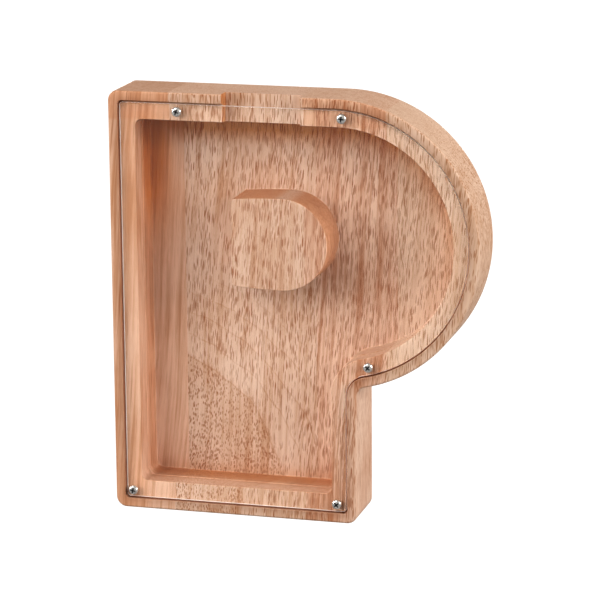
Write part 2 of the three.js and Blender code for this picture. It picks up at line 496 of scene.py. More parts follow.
@dataclass(frozen=True)
class WoodFinish:
    """The wood of one stave, oiled to a satin finish."""

    slot: Slot
    pale: Colour
    deep: Colour
    vessel: Colour
    end_grain: Colour
    figure_centre: Triple
    ring_spacing: Triple
    ring_contrast: float
    streaks: float
    vessels: float
    oil: float
    heart: float = 0.0
    band: float = 0.0
    inner_rings: float = 0.0
    paler_sides: float = 0.0
    front_share: float = 0.0

    def material(
        self, wood: NodeTree, oil: NodeTree, pocket: dict[str, float | Vector]
    ) -> Material:
        """Make the stave's material.

        Args:
            wood: The shared hardwood group.
            oil: The shared group of painted shade along the pocket's walls and darker front faces.
            pocket: Where the pocket's walls are, by the shade group's input names.

        Returns:
            The material.
        """
        material, sheet, shader, _ = new_material(self.slot.value)
        place = sheet.add("ShaderNodeTexCoord")
        spot = {"Position": place.outputs["Object"], "Normal": place.outputs["Normal"]}
        # The shade group paints shade along the pocket's walls and darkens some front faces.
        pocket_shade = sheet.add("ShaderNodeGroup", node_tree=oil)
        sheet.fill(pocket_shade, {**spot, **pocket, "Front Share": self.front_share})
        # The mesh attribute carries the painted shade in the gap round the cover.
        grime = sheet.add("ShaderNodeAttribute", attribute_name=GAP_SHADE_LAYER)

        # The rest of the hardwood's inputs bear the names of this finish's own fields.
        looks = {key.replace("_", " ").title(): value for key, value in vars(self).items()}
        for apart in ("Slot", "Front Share"):
            looks.pop(apart)
        looks["Oil"] = sheet.math("MULTIPLY", pocket_shade.outputs["Oil"], self.oil, clamp=True)
        grain = sheet.add("ShaderNodeGroup", node_tree=wood)
        sheet.fill(grain, {**spot, **looks, "Grime": grime.outputs["Fac"]})
        sheet.fill(shader, {
            "Base Color": grain.outputs["Colour"],
            "Roughness": grain.outputs["Roughness"],
            "Normal": sheet.bump(grain.outputs["Height"], 0.5, 0.03 * MM),
            "Specular IOR Level": 0.35,
        })
        return material


def acrylic_material(name: str, colour: Colour, roughness: float, clearness: float) -> Material:
    """Make one finish of the clear acrylic. Lamps shine through it and light the pocket behind.

    Args:
        name: The material's name.
        colour: Its tint.
        roughness: How matt it is.
        clearness: How much light goes through, from 0 to 1.

    Returns:
        The material.
    """
    material, sheet, shader, output = new_material(name)
    sheet.fill(shader, {
        "Base Color": colour, "Roughness": roughness, "IOR": 1.35, "Transmission Weight": clearness,
    })
    clear = sheet.add("ShaderNodeBsdfTransparent", {"Color": LAMPLIGHT_THROUGH})
    path = sheet.add("ShaderNodeLightPath")
    sheet.choose(output, path.outputs["Is Shadow Ray"], shader, clear)
    return material


def nickel_material() -> Material:
    """Make the bright nickel plate of the screws, with faint turning marks.

    Returns:
        The material.
    """
    material, sheet, shader, _ = new_material(Slot.NICKEL.value)
    place = sheet.add("ShaderNodeTexCoord")
    smear = sheet.noise(place.outputs["Object"], (900.0,) * 3, 3.0)
    dulled = sheet.ramp(smear, 0.35, 0.7)
    sheet.fill(shader, {
        "Base Color": sheet.mix(dulled, (0.80, 0.80, 0.78), (0.62, 0.62, 0.61)),
        "Roughness": sheet.ramp(smear, 0.3, 0.8, 0.16, 0.34),
        "Metallic": 1.0,
        "Normal": sheet.bump(smear, 0.15, 0.02 * MM),
    })
    return material


def recess_material() -> Material:
    """Make the dull, dirty nickel down in the cross of a screw, its dark colour partly painted
    shade.

    Returns:
        The material.
    """
    material, sheet, shader, _ = new_material("dull_shaded_recess")
    place = sheet.add("ShaderNodeTexCoord")
    dirt = sheet.noise(place.outputs["Object"], (1500.0,) * 3, 3.0)
    # Near-black colours: dull metal, with the recess's shade painted in.
    sheet.fill(shader, {
        "Base Color": sheet.mix(dirt, (0.05, 0.05, 0.055), (0.16, 0.16, 0.165)),
        "Roughness": sheet.ramp(dirt, 0.2, 0.8, 0.45, 0.7),
        "Metallic": 0.8,
    })
    return material


def floor_material() -> Material:
    """Make the plain pale floor: white to look at, but dim enough not to fog the acrylic.

    Returns:
        The material.
    """
    material, sheet, shader, output = new_material("pale_floor")
    sheet.fill(shader, {"Base Color": (0.4, 0.4, 0.4), "Roughness": 0.8})
    bright = sheet.add("ShaderNodeEmission", {"Strength": 1.1})
    path = sheet.add("ShaderNodeLightPath")
    direct = sheet.math("LESS_THAN", path.outputs["Diffuse Depth"], 0.5)
    through = sheet.times(path.outputs["Is Transmission Ray"], direct)
    sheet.choose(output, sheet.most(path.outputs["Is Camera Ray"], through), shader, bright)
    return material


# ---- outlines and meshes ---------------------------------------------------------------------


def draw_to(mesh: BMesh, tip: BMVert, point: Sequence[float]) -> BMVert:
    """Draw an edge from a vertex to a point.

    Args:
        mesh: The mesh it is drawn in.
        tip: The vertex it starts from.
        point: Where it ends.

    Returns:
        The vertex at its end.
    """
    fresh = bmesh.ops.extrude_vert_indiv(mesh, verts=[tip])["verts"][0]
    bmesh.ops.translate(mesh, verts=[fresh], vec=Vector(point) - fresh.co)
    return fresh


class OutlinePen:
    """Draws a closed outline on a plane of constant Y, as straight lines and arcs."""

    def __init__(self, across: float, depth: float, up: float) -> None:
        """Set the pen down.

        Args:
            across: X of the first point.
            depth: Y of the plane.
            up: Z of the first point.
        """
        self.sheet = bmesh.new()
        self.depth = depth
        self.tip: BMVert = self.sheet.verts.new((across, depth, up))

    def line(self, across: float, up: float) -> None:
        """Draw straight to a point at X across and Z up."""
        self.tip = draw_to(self.sheet, self.tip, (across, self.depth, up))

    def arc(self, across: float, up: float, angle: float, steps: int) -> None:
        """Draw an arc, anticlockwise seen from the front where the angle is positive.

        Args:
            across: X of the arc's centre.
            up: Z of the arc's centre.
            angle: How far it turns, in radians.
            steps: How many chords it has.
        """
        made = bmesh.ops.spin(
            self.sheet, geom=[self.tip], cent=(across, self.depth, up), axis=(0, -1, 0),
            dvec=(0, 0, 0), angle=angle, steps=steps, use_merge=False, use_normal_flip=False,
            use_duplicate=False,
        )
        self.tip = next(part for part in made["geom_last"] if isinstance(part, BMVert))

    def lift(self) -> list[Vector]:
        """Take the pen away.

        Returns:
            The outline's points, in the order they were drawn.
        """
        points = [vert.co.copy() for vert in self.sheet.verts]
        self.sheet.free()
        return points


@dataclass(frozen=True)
class Station:
    """One outline of the board's section: its insets, its corner radius and its depth.

    Ease is the radius its edge is rounded to, and grime is how much painted shade the wood gets
    there.
    """

    side: float
    end: float
    corner: float
    depth: float
    ease: float = 0.0
    grime: float = 0.0

    def towards(self, other: Station, share: float) -> Station:
        """Return the station that lies a share of the way to another."""
        pairs = (
            (self.side, other.side), (self.end, other.end),
            (self.corner, other.corner), (self.depth, other.depth),
        )
        return Station(*(a + (b - a) * share for a, b in pairs))

    def distance(self, other: Station) -> float:
        """Return how far apart two stations lie in the section, on level edges."""
        return math.hypot(self.end - other.end, self.depth - other.depth)


def eased(corners: Sequence[Station], steps: int) -> list[Station]:
    """Round the corners of a section.

    Args:
        corners: The section's corners, each with the radius it is eased to.
        steps: How many chords an eased corner has.

    Returns:
        The stations of the rounded section.
    """
    stations = [corners[0]]
    for before, corner, after in zip(corners, corners[1:], corners[2:]):
        if corner.ease == 0.0:
            stations.append(corner)
            continue
        start = corner.towards(before, corner.ease / corner.distance(before))
        finish = corner.towards(after, corner.ease / corner.distance(after))
        for step in range(steps + 1):
            turn = QUARTER * step / steps
            onto = start.towards(corner, math.sin(turn))
            leaving = corner.towards(finish, 1 - math.cos(turn))
            stations.append(Station(
                onto.side + leaving.side - corner.side,
                onto.end + leaving.end - corner.end,
                onto.corner + leaving.corner - corner.corner,
                onto.depth + leaving.depth - corner.depth,
                grime=corner.grime,
            ))
    stations.append(corners[-1])
    return stations


@dataclass(frozen=True)
class Letter:
    """The outline of the letter: a stem on a flat foot, and a round bowl."""

    left: float
    right: float
    top: float
    front: float
    bowl_radius: float = 71.1 * MM
    crotch_radius: float = 5 * MM
    corner_steps: int = 10
    hollow_steps: int = 22
    bowl_steps: int = 118

    @property
    def stem_right(self) -> float:
        """X of the stem's right side: the origin is in the middle of the foot."""
        return -self.left

    @property
    def bowl_across(self) -> float:
        """X of the bowl's middle."""
        return self.right - self.bowl_radius

    @property
    def bowl_up(self) -> float:
        """Z of the bowl's middle."""
        return self.top - self.bowl_radius

    def outline(self, station: Station) -> list[Vector]:
        """Draw the outline at a station.

        Args:
            station: How far in and how deep it lies.

        Returns:
            The outline's points, anticlockwise seen from the front.
        """
        corner = station.corner
        left, right = self.left + station.side, self.stem_right - station.side
        bottom, top = station.end, self.top - station.end
        radius = self.bowl_radius - station.end
        middle = self.bowl_across + station.end - station.side
        hollow = self.crotch_radius + (station.side + station.end) / 2
        hollow_across = right + hollow
        reach = radius + hollow
        hollow_up = self.bowl_up - math.sqrt(reach**2 - (hollow_across - middle) ** 2)
        meeting = math.atan2(self.bowl_up - hollow_up, middle - hollow_across)

        pen = OutlinePen(0.0, self.front + station.depth, bottom)
        pen.line(right - corner, bottom)
        pen.arc(right - corner, bottom + corner, QUARTER, self.corner_steps)
        pen.line(right, hollow_up)
        pen.arc(hollow_across, hollow_up, meeting - math.pi, self.hollow_steps)
        pen.arc(middle, self.bowl_up, QUARTER - (meeting - math.pi), self.bowl_steps)
        pen.line(left + corner, top)
        pen.arc(left + corner, top - corner, QUARTER, self.corner_steps)
        pen.line(left, bottom + corner)
        pen.arc(left + corner, bottom + corner, QUARTER, self.corner_steps)
        return pen.lift()


@dataclass(frozen=True)
class Counter:
    """The D-shaped island left standing in the pocket."""

    letter: Letter
    left: float = 61 * MM
    width: float = 47.8 * MM
    height: float = 45.3 * MM
    below_bowl_middle: float = 1.55 * MM
    corner: float = 1.3 * MM
    bow_radius: float = 260 * MM
    nose_steps: int = 56
    corner_steps: int = 8
    bow_steps: int = 10

    def outline(self, grow: float, depth: float) -> list[Vector]:
        """Draw the island's outline.

        Args:
            grow: How far outside its top edge the outline lies.
            depth: How far behind the board's front face it lies.

        Returns:
            The outline's points, anticlockwise seen from the front.
        """
        nose = self.height / 2
        middle = self.letter.bowl_up - self.below_bowl_middle
        left = self.letter.left + self.left
        nose_across = left + self.width - nose
        lean = math.asin((nose_across - left - self.corner) / (self.bow_radius - self.corner))
        corner_up = nose - self.bow_radius + (self.bow_radius - self.corner) * math.cos(lean)
        pen = OutlinePen(nose_across, self.letter.front + depth, middle - nose - grow)
        pen.arc(nose_across, middle, 2 * QUARTER, self.nose_steps)
        pen.arc(nose_across, middle + nose - self.bow_radius, lean, self.bow_steps)
        pen.arc(left + self.corner, middle + corner_up, QUARTER - lean, self.corner_steps)
        pen.line(left - grow, middle - corner_up)
        pen.arc(left + self.corner, middle - corner_up, QUARTER - lean, self.corner_steps)
        pen.arc(nose_across, middle - nose + self.bow_radius, lean, self.bow_steps)
        return pen.lift()[:-1]


def loft(
    mesh: BMesh, outlines: Sequence[list[Vector]], grime: Sequence[float] = ()
) -> tuple[list[BMEdge], list[BMEdge]]:
    """Pull a closed outline through a row of outlines, leaving walls behind it.

    Args:
        mesh: The mesh the walls go into.
        outlines: The outlines, in order, all with the same number of points.
        grime: How much painted shade the wood gets at each outline, from 0 to 1. Empty for none.

    Returns:
        The open edges of the first and of the last outline.
    """
    layer = mesh.verts.layers.float.get(GAP_SHADE_LAYER) or mesh.verts.layers.float.new(GAP_SHADE_LAYER)
    ring = [mesh.verts.new(point) for point in outlines[0]]
    levels = iter([*grime[1:], *([0.0] * len(outlines))])
    first = edges = [mesh.edges.new(pair) for pair in zip(ring, ring[1:] + ring[:1])]
    for points in outlines[1:]:
        made = bmesh.ops.extrude_edge_only(mesh, edges=edges)["geom"]
        fresh = {part for part in made if isinstance(part, BMVert)}
        edges = [part for part in made if isinstance(part, BMEdge) and fresh.issuperset(part.verts)]
        ring = [
            next(other for edge in vert.link_edges if (other := edge.other_vert(vert)) in fresh)
            for vert in ring
        ]
        level = next(levels)
        for vert, point in zip(ring, points):
            vert.co = point
            vert[layer] = level
    return first, edges


def cap(mesh: BMesh, edges: list[BMEdge]) -> None:
    """Close a flat outline, round any outline that lies inside it.

    Args:
        mesh: The mesh they are in.
        edges: The edges of the outer outline, and of those inside it that stay open.
    """
    bmesh.ops.triangle_fill(mesh, use_beauty=True, use_dissolve=False, edges=edges)


def to_object(mesh: BMesh, name: str, sharp: float = 30.0) -> Object:
    """Turn a finished bmesh into an object with smooth shading and sharp edges.

    Args:
        mesh: The mesh, which is freed.
        name: The object's name.
        sharp: Edges that turn by more than this many degrees stay sharp.

    Returns:
        The object, at the origin.
    """
    data = bpy.data.meshes.new(name)
    mesh.to_mesh(data)
    mesh.free()
    data.shade_smooth()
    data.set_sharp_from_angle(angle=math.radians(sharp))
    piece = bpy.data.objects.new(name, data)
    bpy.context.scene.collection.objects.link(piece)
    return piece


def flatter_normals(piece: Object, weight: int = 90) -> None:
    """Let flat faces keep flat shading right up to their eased edges.

    Args:
        piece: The piece whose normals are set.
        weight: How strongly large faces count.
    """
    modifier = piece.modifiers.new("flat_faces", "WEIGHTED_NORMAL")
    modifier.keep_sharp = True
    modifier.weight = weight


def cut(mesh: BMesh, tool: BMesh) -> BMesh:
    """Cut one closed mesh out of another.

    Args:
        mesh: The mesh that is cut. It is freed.
        tool: The mesh that is taken away. It is freed.

    Returns:
        The mesh that is left.
    """
    body, cutter = to_object(mesh, "cut_body"), to_object(tool, "cut_tool")
    modifier = body.modifiers.new("cut", "BOOLEAN")
    modifier.operation = "DIFFERENCE"
    modifier.solver = "EXACT"
    modifier.object = cutter
    ready = body.evaluated_get(bpy.context.evaluated_depsgraph_get())
    left = bmesh.new()
    left.from_mesh(ready.to_mesh())
    ready.to_mesh_clear()
    for used in (body, cutter):
        data = used.data
        bpy.data.objects.remove(used)
        bpy.data.meshes.remove(data)
    return left


def drill_bits(screws: Sequence[CoverScrew], radius: float, front: float, back: float) -> BMesh:
    """Make a plain rod along Y for each screw, to drill its hole with.

    Args:
        screws: The screws whose axes the rods lie on.
        radius: The rods' radius.
        front: Their lowest Y.
        back: Their highest Y.

    Returns:
        The closed mesh of all the rods.
    """
    rods = bmesh.new()
    turn = Matrix.Rotation(QUARTER, 4, "X")
    for screw in screws:
        place = Matrix.Translation((screw.across, (front + back) / 2, screw.up))
        bmesh.ops.create_cone(
            rods, cap_ends=True, segments=ROD_STEPS, radius1=radius, radius2=radius,
            depth=back - front, matrix=place @ turn,
        )
    return rods


def finished(piece: Object, node: str, body: str, slot: Slot, material: Material) -> None:
    """Dress a piece, put it on its body and let it stand for its CAD node.

    Args:
        piece: The new piece.
        node: The CAD node it replaces.
        body: The body it rides on.
        slot: Not used.
        material: Its material.
    """
    piece.data.materials.append(material)
    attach(piece, body)
    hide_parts(node)
    log.info("%s: %d faces, rides on %s", piece.name, len(piece.data.polygons), body)


# ---- the money box ---------------------------------------------------------------------------


@dataclass
class WoodenBody:
    """The glued board, milled to the letter and split again at its glue lines."""

    letter: Letter
    thickness: float
    outer_corner: float = 5.2 * MM
    outer_ease: float = 1.1 * MM
    back_inset: float = 4 * MM
    rim_width: float = 4.8 * MM
    rebate_depth: float = 2.5 * MM
    rebate_corner: float = 2.4 * MM
    inner_ease: float = 0.35 * MM
    pocket_side: float = 13.1 * MM
    pocket_end: float = 14 * MM
    pocket_corner: float = 3.5 * MM
    first_pass: float = 10 * MM
    pass_step: float = 0.25 * MM
    floor_corner: float = 4.6 * MM
    floor_thickness: float = 6 * MM
    floor_cove: float = 0.8 * MM
    floor_inset: float = 2 * MM
    notch_left: float = 57.3 * MM
    notch_width: float = 38.7 * MM
    coin_gap: float = 4.2 * MM
    notch_round: float = 0.9 * MM
    notch_ease: float = 0.3 * MM
    pilot_radius: float = 1.7 * MM
    pilot_depth: float = 11.5 * MM
    # How far the painted shade reaches out from the pocket's walls.
    oil_spread: float = 18 * MM
    # Width of the painted-shade strip on the ledge beside the rebate wall.
    dust_width: float = 0.45 * MM
    island_wear: float = 0.17
    ease_steps: int = 5
    staves: dict[str, Slot] = field(default_factory=lambda: {
        "stave_1": Slot.SMOOTH, "stave_2": Slot.BROWN, "stave_3": Slot.RED, "stave_4": Slot.TAN,
    })

    @property
    def floor_depth(self) -> float:
        """Depth of the pocket's floor behind the front face."""
        return self.thickness - self.floor_thickness

    def pocket(self) -> dict[str, float | Vector]:
        """Return where the pocket's walls are, by the shade group's input names."""
        letter = self.letter
        return {
            "Left": letter.left + self.pocket_side, "Right": letter.stem_right - self.pocket_side,
            "Foot": self.pocket_end, "Top": letter.top - self.pocket_end,
            "Ledge": letter.front + self.rebate_depth, "Floor": letter.front + self.floor_depth,
            "Notch Middle": letter.left + self.notch_left + self.notch_width / 2,
            "Notch Reach": self.notch_width / 2,
            "Bowl": Vector((letter.bowl_across, 0.0, letter.bowl_up)),
            "Bowl Radius": letter.bowl_radius - self.pocket_end, "Spread": self.oil_spread,
        }

    def section(self) -> list[Station]:
        """Return the section from the back face, round the outside and down to the pocket floor."""
        back, rim, inset = self.back_inset, self.rim_width, self.floor_inset
        side, end, step = self.pocket_side, self.pocket_end, self.pass_step
        outer, ledge, low = self.outer_corner, self.rebate_corner, self.floor_corner
        rebate, floor = self.rebate_depth, self.floor_depth
        pass_depth = rebate + self.first_pass
        low_side, low_end = side + step, end + step
        shaded_edge, unshaded_edge = rim + self.dust_width, rim + self.dust_width * 1.5
        corners = [
            Station(back, back, outer - back, self.thickness),
            Station(0.0, 0.0, outer, self.thickness, self.outer_ease),
            Station(0.0, 0.0, outer, 0.0, self.outer_ease),
            # The rim's inner edge, the rebate wall and a thin strip of ledge get painted shade, as
            # the gap round the cover is dark.
            Station(rim, rim, ledge, 0.0, self.inner_ease, grime=0.3),
            Station(rim, rim, ledge, rebate, grime=1.0),
            Station(shaded_edge, shaded_edge, ledge, rebate, grime=1.0),
            Station(unshaded_edge, unshaded_edge, ledge, rebate),
            Station(side, end, self.pocket_corner, rebate, self.inner_ease),
            Station(side, end, self.pocket_corner, pass_depth),
            Station(low_side, low_end, low, pass_depth + step),
            Station(low_side, low_end, low, floor, self.floor_cove),
            Station(low_side + inset, low_end + inset, low, floor),
        ]
        return eased(corners, self.ease_steps)

    def island_section(self) -> list[tuple[float, float]]:
        """Return the island's growth and depth from its foot on the floor to its eased top."""
        turns = [QUARTER * step / self.ease_steps for step in range(self.ease_steps + 1)]
        foot, cove = self.floor_depth, self.floor_cove
        top, ease = self.rebate_depth, self.inner_ease
        return [
            *((cove * (1 - math.sin(turn)), foot - cove * (1 - math.cos(turn))) for turn in turns),
            *((-ease * (1 - math.cos(turn)), top + ease * (1 - math.sin(turn))) for turn in turns),
        ]

    def board(self) -> BMesh:
        """Build the board with its rebate, pocket and island.

        Returns:
            The closed mesh.
        """
        mesh = bmesh.new()
        section = self.section()
        outlines = [self.letter.outline(station) for station in section]
        back, floor = loft(mesh, outlines, [station.grime for station in section])
        counter = Counter(self.letter)
        rise = [counter.outline(grow, depth) for grow, depth in self.island_section()]
        # The island's top edge, against the cover, gets a little painted shade.
        foot, top = loft(mesh, rise, [0.0] * (len(rise) - 1) + [self.island_wear])
        for edges in (back, floor + foot, top):
            cap(mesh, edges)
        bmesh.ops.recalc_face_normals(mesh, faces=mesh.faces)
        return mesh

    def notch_tool(self) -> BMesh:
        """Build the cutter of the coin notch, with the small radius it leaves in the corners.

        Returns:
            The closed mesh.
        """
        margin, near = 6 * MM, 0.1 * MM
        letter, depth = self.letter, self.rebate_depth + self.coin_gap
        low = Vector((
            letter.left + self.notch_left, letter.front - margin,
            letter.top - self.pocket_end - margin,
        ))
        high = Vector((low.x + self.notch_width, letter.front + depth, letter.top + margin))
        tool = bmesh.new()
        shape = Matrix.Translation((low + high) / 2) @ Matrix.Diagonal((*(high - low), 1.0))
        bmesh.ops.create_cube(tool, size=1.0, matrix=shape)
        upright = [
            edge for edge in tool.edges
            if all(abs(vert.co.y - high.y) < near for vert in edge.verts)
            and abs(edge.verts[0].co.x - edge.verts[1].co.x) < near
        ]
        bmesh.ops.bevel(
            tool, geom=upright, offset=self.notch_round, offset_type="OFFSET", segments=4,
            profile=0.5, affect="EDGES", material=-1,
        )
        return tool

    def ease_notch(self, mesh: BMesh) -> None:
        """Take the sharpness off the edges of the coin notch.

        Args:
            mesh: The board.
        """
        left = self.letter.left + self.notch_left
        right = left + self.notch_width
        below = self.letter.top - self.pocket_end - 1 * MM
        behind = self.letter.front + self.rebate_depth + self.coin_gap
        near, sharp = 0.06 * MM, math.radians(50)
        picked = []
        for edge in mesh.edges:
            middle = (edge.verts[0].co + edge.verts[1].co) / 2
            off_wall = min(abs(middle.x - left), abs(middle.x - right))
            on_side = off_wall < near and middle.y < behind + near
            on_floor = left - near < middle.x < right + near and abs(middle.y - behind) < near
            if middle.z < below or not (on_side or on_floor) or len(edge.link_faces) != 2:
                continue
            if edge.calc_face_angle_signed(0.0) > sharp:
                picked.append(edge)
        bmesh.ops.bevel(
            mesh, geom=picked, offset=self.notch_ease, offset_type="OFFSET", segments=2,
            profile=0.5, affect="EDGES", material=-1, clamp_overlap=True,
        )

    def stave(self, board: BMesh, low: float, high: float) -> BMesh:
        """Take the part of the board between two glue lines.

        Args:
            board: The whole board, which is left as it is.
            low: X of the glue line on its left.
            high: X of the glue line on its right.

        Returns:
            The stave's closed mesh.
        """
        mesh = board.copy()
        for across, side in ((low, -1.0), (high, 1.0)):
            made = bmesh.ops.bisect_plane(
                mesh, geom=[*mesh.verts, *mesh.edges, *mesh.faces], dist=0.001 * MM,
                plane_co=(across, 0, 0), plane_no=(side, 0, 0), clear_outer=True, clear_inner=False,
            )
            rim = [part for part in made["geom_cut"] if isinstance(part, BMEdge)]
            if rim:
                bmesh.ops.holes_fill(mesh, edges=rim, sides=0)
        bmesh.ops.recalc_face_normals(mesh, faces=mesh.faces)
        return mesh

    def build(self, screws: Sequence[CoverScrew], finishes: dict[Slot, Material]) -> None:
        """Mill the board, split it and dress the staves.

        Args:
            screws: The cover's screws, whose pilot holes are drilled in the ledge.
            finishes: The materials by slot.
        """
        ledge = self.letter.front + self.rebate_depth
        board = cut(self.board(), self.notch_tool())
        drills = drill_bits(screws, self.pilot_radius, ledge - 1 * MM, ledge + self.pilot_depth)
        board = cut(board, drills)
        bmesh.ops.remove_doubles(board, verts=board.verts, dist=0.002 * MM)
        self.ease_notch(board)
        beyond = 10 * MM
        for name, slot in self.staves.items():
            low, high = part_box(name)
            start = low[0] if name != "stave_1" else low[0] - beyond
            finish = high[0] if name != "stave_4" else high[0] + beyond
            piece = to_object(self.stave(board, start, finish), f"{name}_wood")
            flatter_normals(piece)
            finished(piece, name, "box", slot, finishes[slot])
        board.free()


@dataclass
class Cover:
    """The clear acrylic sheet with its milky bevelled edge and screw holes.

    Faces that look along Y by more than flat are clear, the others are machined.
    """

    letter: Letter
    inset: float = 5.6 * MM
    corner: float = 1.6 * MM
    bevel: float = 0.45 * MM
    back_ease: float = 0.2 * MM
    hole_radius: float = 1.9 * MM
    seat_gap: float = 0.03 * MM
    flat: float = 0.9

    def build(
        self, screws: Sequence[CoverScrew], material: Material, sawn: Material
    ) -> None:
        """Build and dress the sheet.

        Args:
            screws: The screws that pass through it.
            material: The acrylic.
            sawn: The acrylic's milky machined edge.
        """
        low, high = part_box("cover")
        front, back = low[1] - self.letter.front, high[1] - self.letter.front - self.seat_gap
        inner, outer, knee = self.inset + self.bevel, self.inset, self.bevel * 0.3
        stations = [
            Station(outer + self.back_ease, outer + self.back_ease, self.corner, back),
            Station(outer, outer, self.corner, back - self.back_ease),
            Station(outer, outer, self.corner, front + self.bevel),
            Station(outer + knee, outer + knee, self.corner, front + knee),
            Station(inner, inner, self.corner, front),
        ]
        mesh = bmesh.new()
        for edges in loft(mesh, [self.letter.outline(station) for station in stations]):
            cap(mesh, edges)
        bmesh.ops.recalc_face_normals(mesh, faces=mesh.faces)
        sheet = cut(mesh, drill_bits(screws, self.hole_radius, low[1] - 1 * MM, high[1] + 1 * MM))
        for face in sheet.faces:
            face.material_index = int(abs(face.normal.y) < self.flat)
        piece = to_object(sheet, "cover_sheet")
        flatter_normals(piece)
        finished(piece, "cover", "cover", Slot.ACRYLIC, material)
        piece.data.materials.append(sawn)


@dataclass
class CoverScrew:
    """One small pan-head screw with a cross recess, along Y."""

    node: str
    body: str
    turn: float
    core_radius: float = 1.05 * MM
    thread_radius: float = 1.5 * MM
    thread_foot: float = 0.34 * MM
    thread_steps: int = 20
    pitch: float = 1.15 * MM
    plain_length: float = 0.9 * MM
    tip: float = 2.4 * MM
    recess_length: float = 3.3 * MM
    recess_width: float = 0.75 * MM
    recess_depth: float = 1.15 * MM
    round_steps: int = 40

    def __post_init__(self) -> None:
        """Read the screw's place and outer sizes from its CAD node."""
        low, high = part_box(self.node)
        self.across = (low[0] + high[0]) / 2
        self.up = (low[2] + high[2]) / 2
        self.head_radius = (high[0] - low[0]) / 2
        self.head_top, self.point = low[1], high[1]
        self.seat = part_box("cover")[0][1]

    def turned(self) -> BMesh:
        """Turn the head and the core on the lathe.

        Returns:
            The closed mesh, with its axis on the Y axis.
        """
        radius, top, seat = self.head_radius, self.head_top, self.seat
        height = seat - top
        profile = (
            *((radius * wide, top + height * deep) for wide, deep in HEAD_DOME),
            (radius * 0.985, seat), (self.core_radius, seat),
            (self.core_radius, self.point - self.tip), (0.0, self.point),
        )
        mesh = bmesh.new()
        tip = mesh.verts.new((0.0, top, 0.0))
        for across, along in profile:
            tip = draw_to(mesh, tip, (across, along, 0.0))
        bmesh.ops.spin(
            mesh, geom=[*mesh.verts, *mesh.edges], cent=(0, 0, 0), axis=(0, 1, 0), dvec=(0, 0, 0),
            angle=4 * QUARTER, steps=self.round_steps, use_merge=True, use_normal_flip=False,
            use_duplicate=False,
        )
        bmesh.ops.remove_doubles(mesh, verts=mesh.verts, dist=0.001 * MM)
        bmesh.ops.recalc_face_normals(mesh, faces=mesh.faces)
        return mesh

    def recess_tool(self, turn: float) -> BMesh:
        """Build one tapered blade of the cross.

        Args:
            turn: The blade's angle round the axis.

        Returns:
            The closed mesh.
        """
        tool = bmesh.new()
        top = self.head_top - 0.3 * MM
        bottom = self.head_top + self.recess_depth
        size = Matrix.Diagonal((self.recess_length, bottom - top, self.recess_width, 1.0))
        place = Matrix.Translation((0, (top + bottom) / 2, 0))
        bmesh.ops.create_cube(tool, size=1.0, matrix=place @ size)
        deep = [vert for vert in tool.verts if vert.co.y > top + 0.5 * MM]
        bmesh.ops.scale(tool, verts=deep, vec=(0.3, 1.0, 0.55))
        turned = Matrix.Rotation(turn, 3, "Y")
        bmesh.ops.rotate(tool, verts=tool.verts, cent=(0, 0, 0), matrix=turned)
        return tool

    def thread(self) -> BMesh:
        """Wind the thread round the core, running out on the point.

        Returns:
            The closed helix.
        """
        start = self.seat + self.plain_length
        turns = (self.point - 0.5 * MM - start) / self.pitch
        steps = int(turns * self.thread_steps)
        sunk = self.core_radius - 0.08 * MM
        mesh = bmesh.new()
        foot = self.thread_foot
        corners = [(sunk, start - foot), (self.thread_radius, start), (sunk, start + foot)]
        verts = [mesh.verts.new((across, along, 0.0)) for across, along in corners]
        face = mesh.faces.new(verts)
        bmesh.ops.spin(
            mesh, geom=[face], cent=(0, 0, 0), axis=(0, 1, 0),
            dvec=(0, self.pitch / self.thread_steps, 0),
            angle=4 * QUARTER * steps / self.thread_steps, steps=steps,
            use_merge=False, use_normal_flip=False, use_duplicate=False,
        )
        bmesh.ops.holes_fill(mesh, edges=[edge for edge in mesh.edges if edge.is_boundary], sides=0)
        for vert in mesh.verts:
            if vert.co.y > self.point - self.tip:
                share = max(0.04, (self.point - vert.co.y) / self.tip)
                vert.co.x *= share
                vert.co.z *= share
        bmesh.ops.recalc_face_normals(mesh, faces=mesh.faces)
        return mesh

    def build(self, material: Material, dull_and_shaded: Material) -> None:
        """Build and dress the screw.

        Args:
            material: The nickel plate.
            dull_and_shaded: The dull nickel down in the cross, darkened with painted shade.
        """
        mesh = self.turned()
        for turn in (self.turn, self.turn + QUARTER):
            mesh = cut(mesh, self.recess_tool(turn))
        thread = self.thread()
        carrier = bpy.data.meshes.new("thread")
        thread.to_mesh(carrier)
        thread.free()
        mesh.from_mesh(carrier)
        bpy.data.meshes.remove(carrier)
        # Faces down in the cross take the dark recess finish, partly painted shade.
        for face in mesh.faces:
            middle = face.calc_center_median()
            if math.hypot(middle.x, middle.z) < self.recess_length / 2 and (
                self.head_top + 0.15 * MM < middle.y < self.seat - 0.05 * MM
            ):
                face.material_index = 1
        bmesh.ops.translate(mesh, verts=mesh.verts, vec=(self.across, 0.0, self.up))
        piece = to_object(mesh, f"{self.node}_steel", sharp=40.0)
        finished(piece, self.node, self.body, Slot.NICKEL, material)
        piece.data.materials.append(dull_and_shaded)


# ---- the studio ------------------------------------------------------------------------------


@dataclass(frozen=True)
class Lamp:
    """A soft rectangular lamp aimed at the box."""

    name: str
    place: Vector
    width: float
    height: float
    power: float

    def build(self, target: Vector) -> None:
        """Hang the lamp.

        Args:
            target: What it points at.
        """
        data = bpy.data.lights.new(self.name, "AREA")
        data.shape = "RECTANGLE"
        data.size, data.size_y = self.width, self.height
        data.energy = self.power
        lamp = bpy.data.objects.new(self.name, data)
        lamp.location = self.place
        lamp.rotation_euler = (target - self.place).to_track_quat("-Z", "Y").to_euler()
        bpy.context.scene.collection.objects.link(lamp)


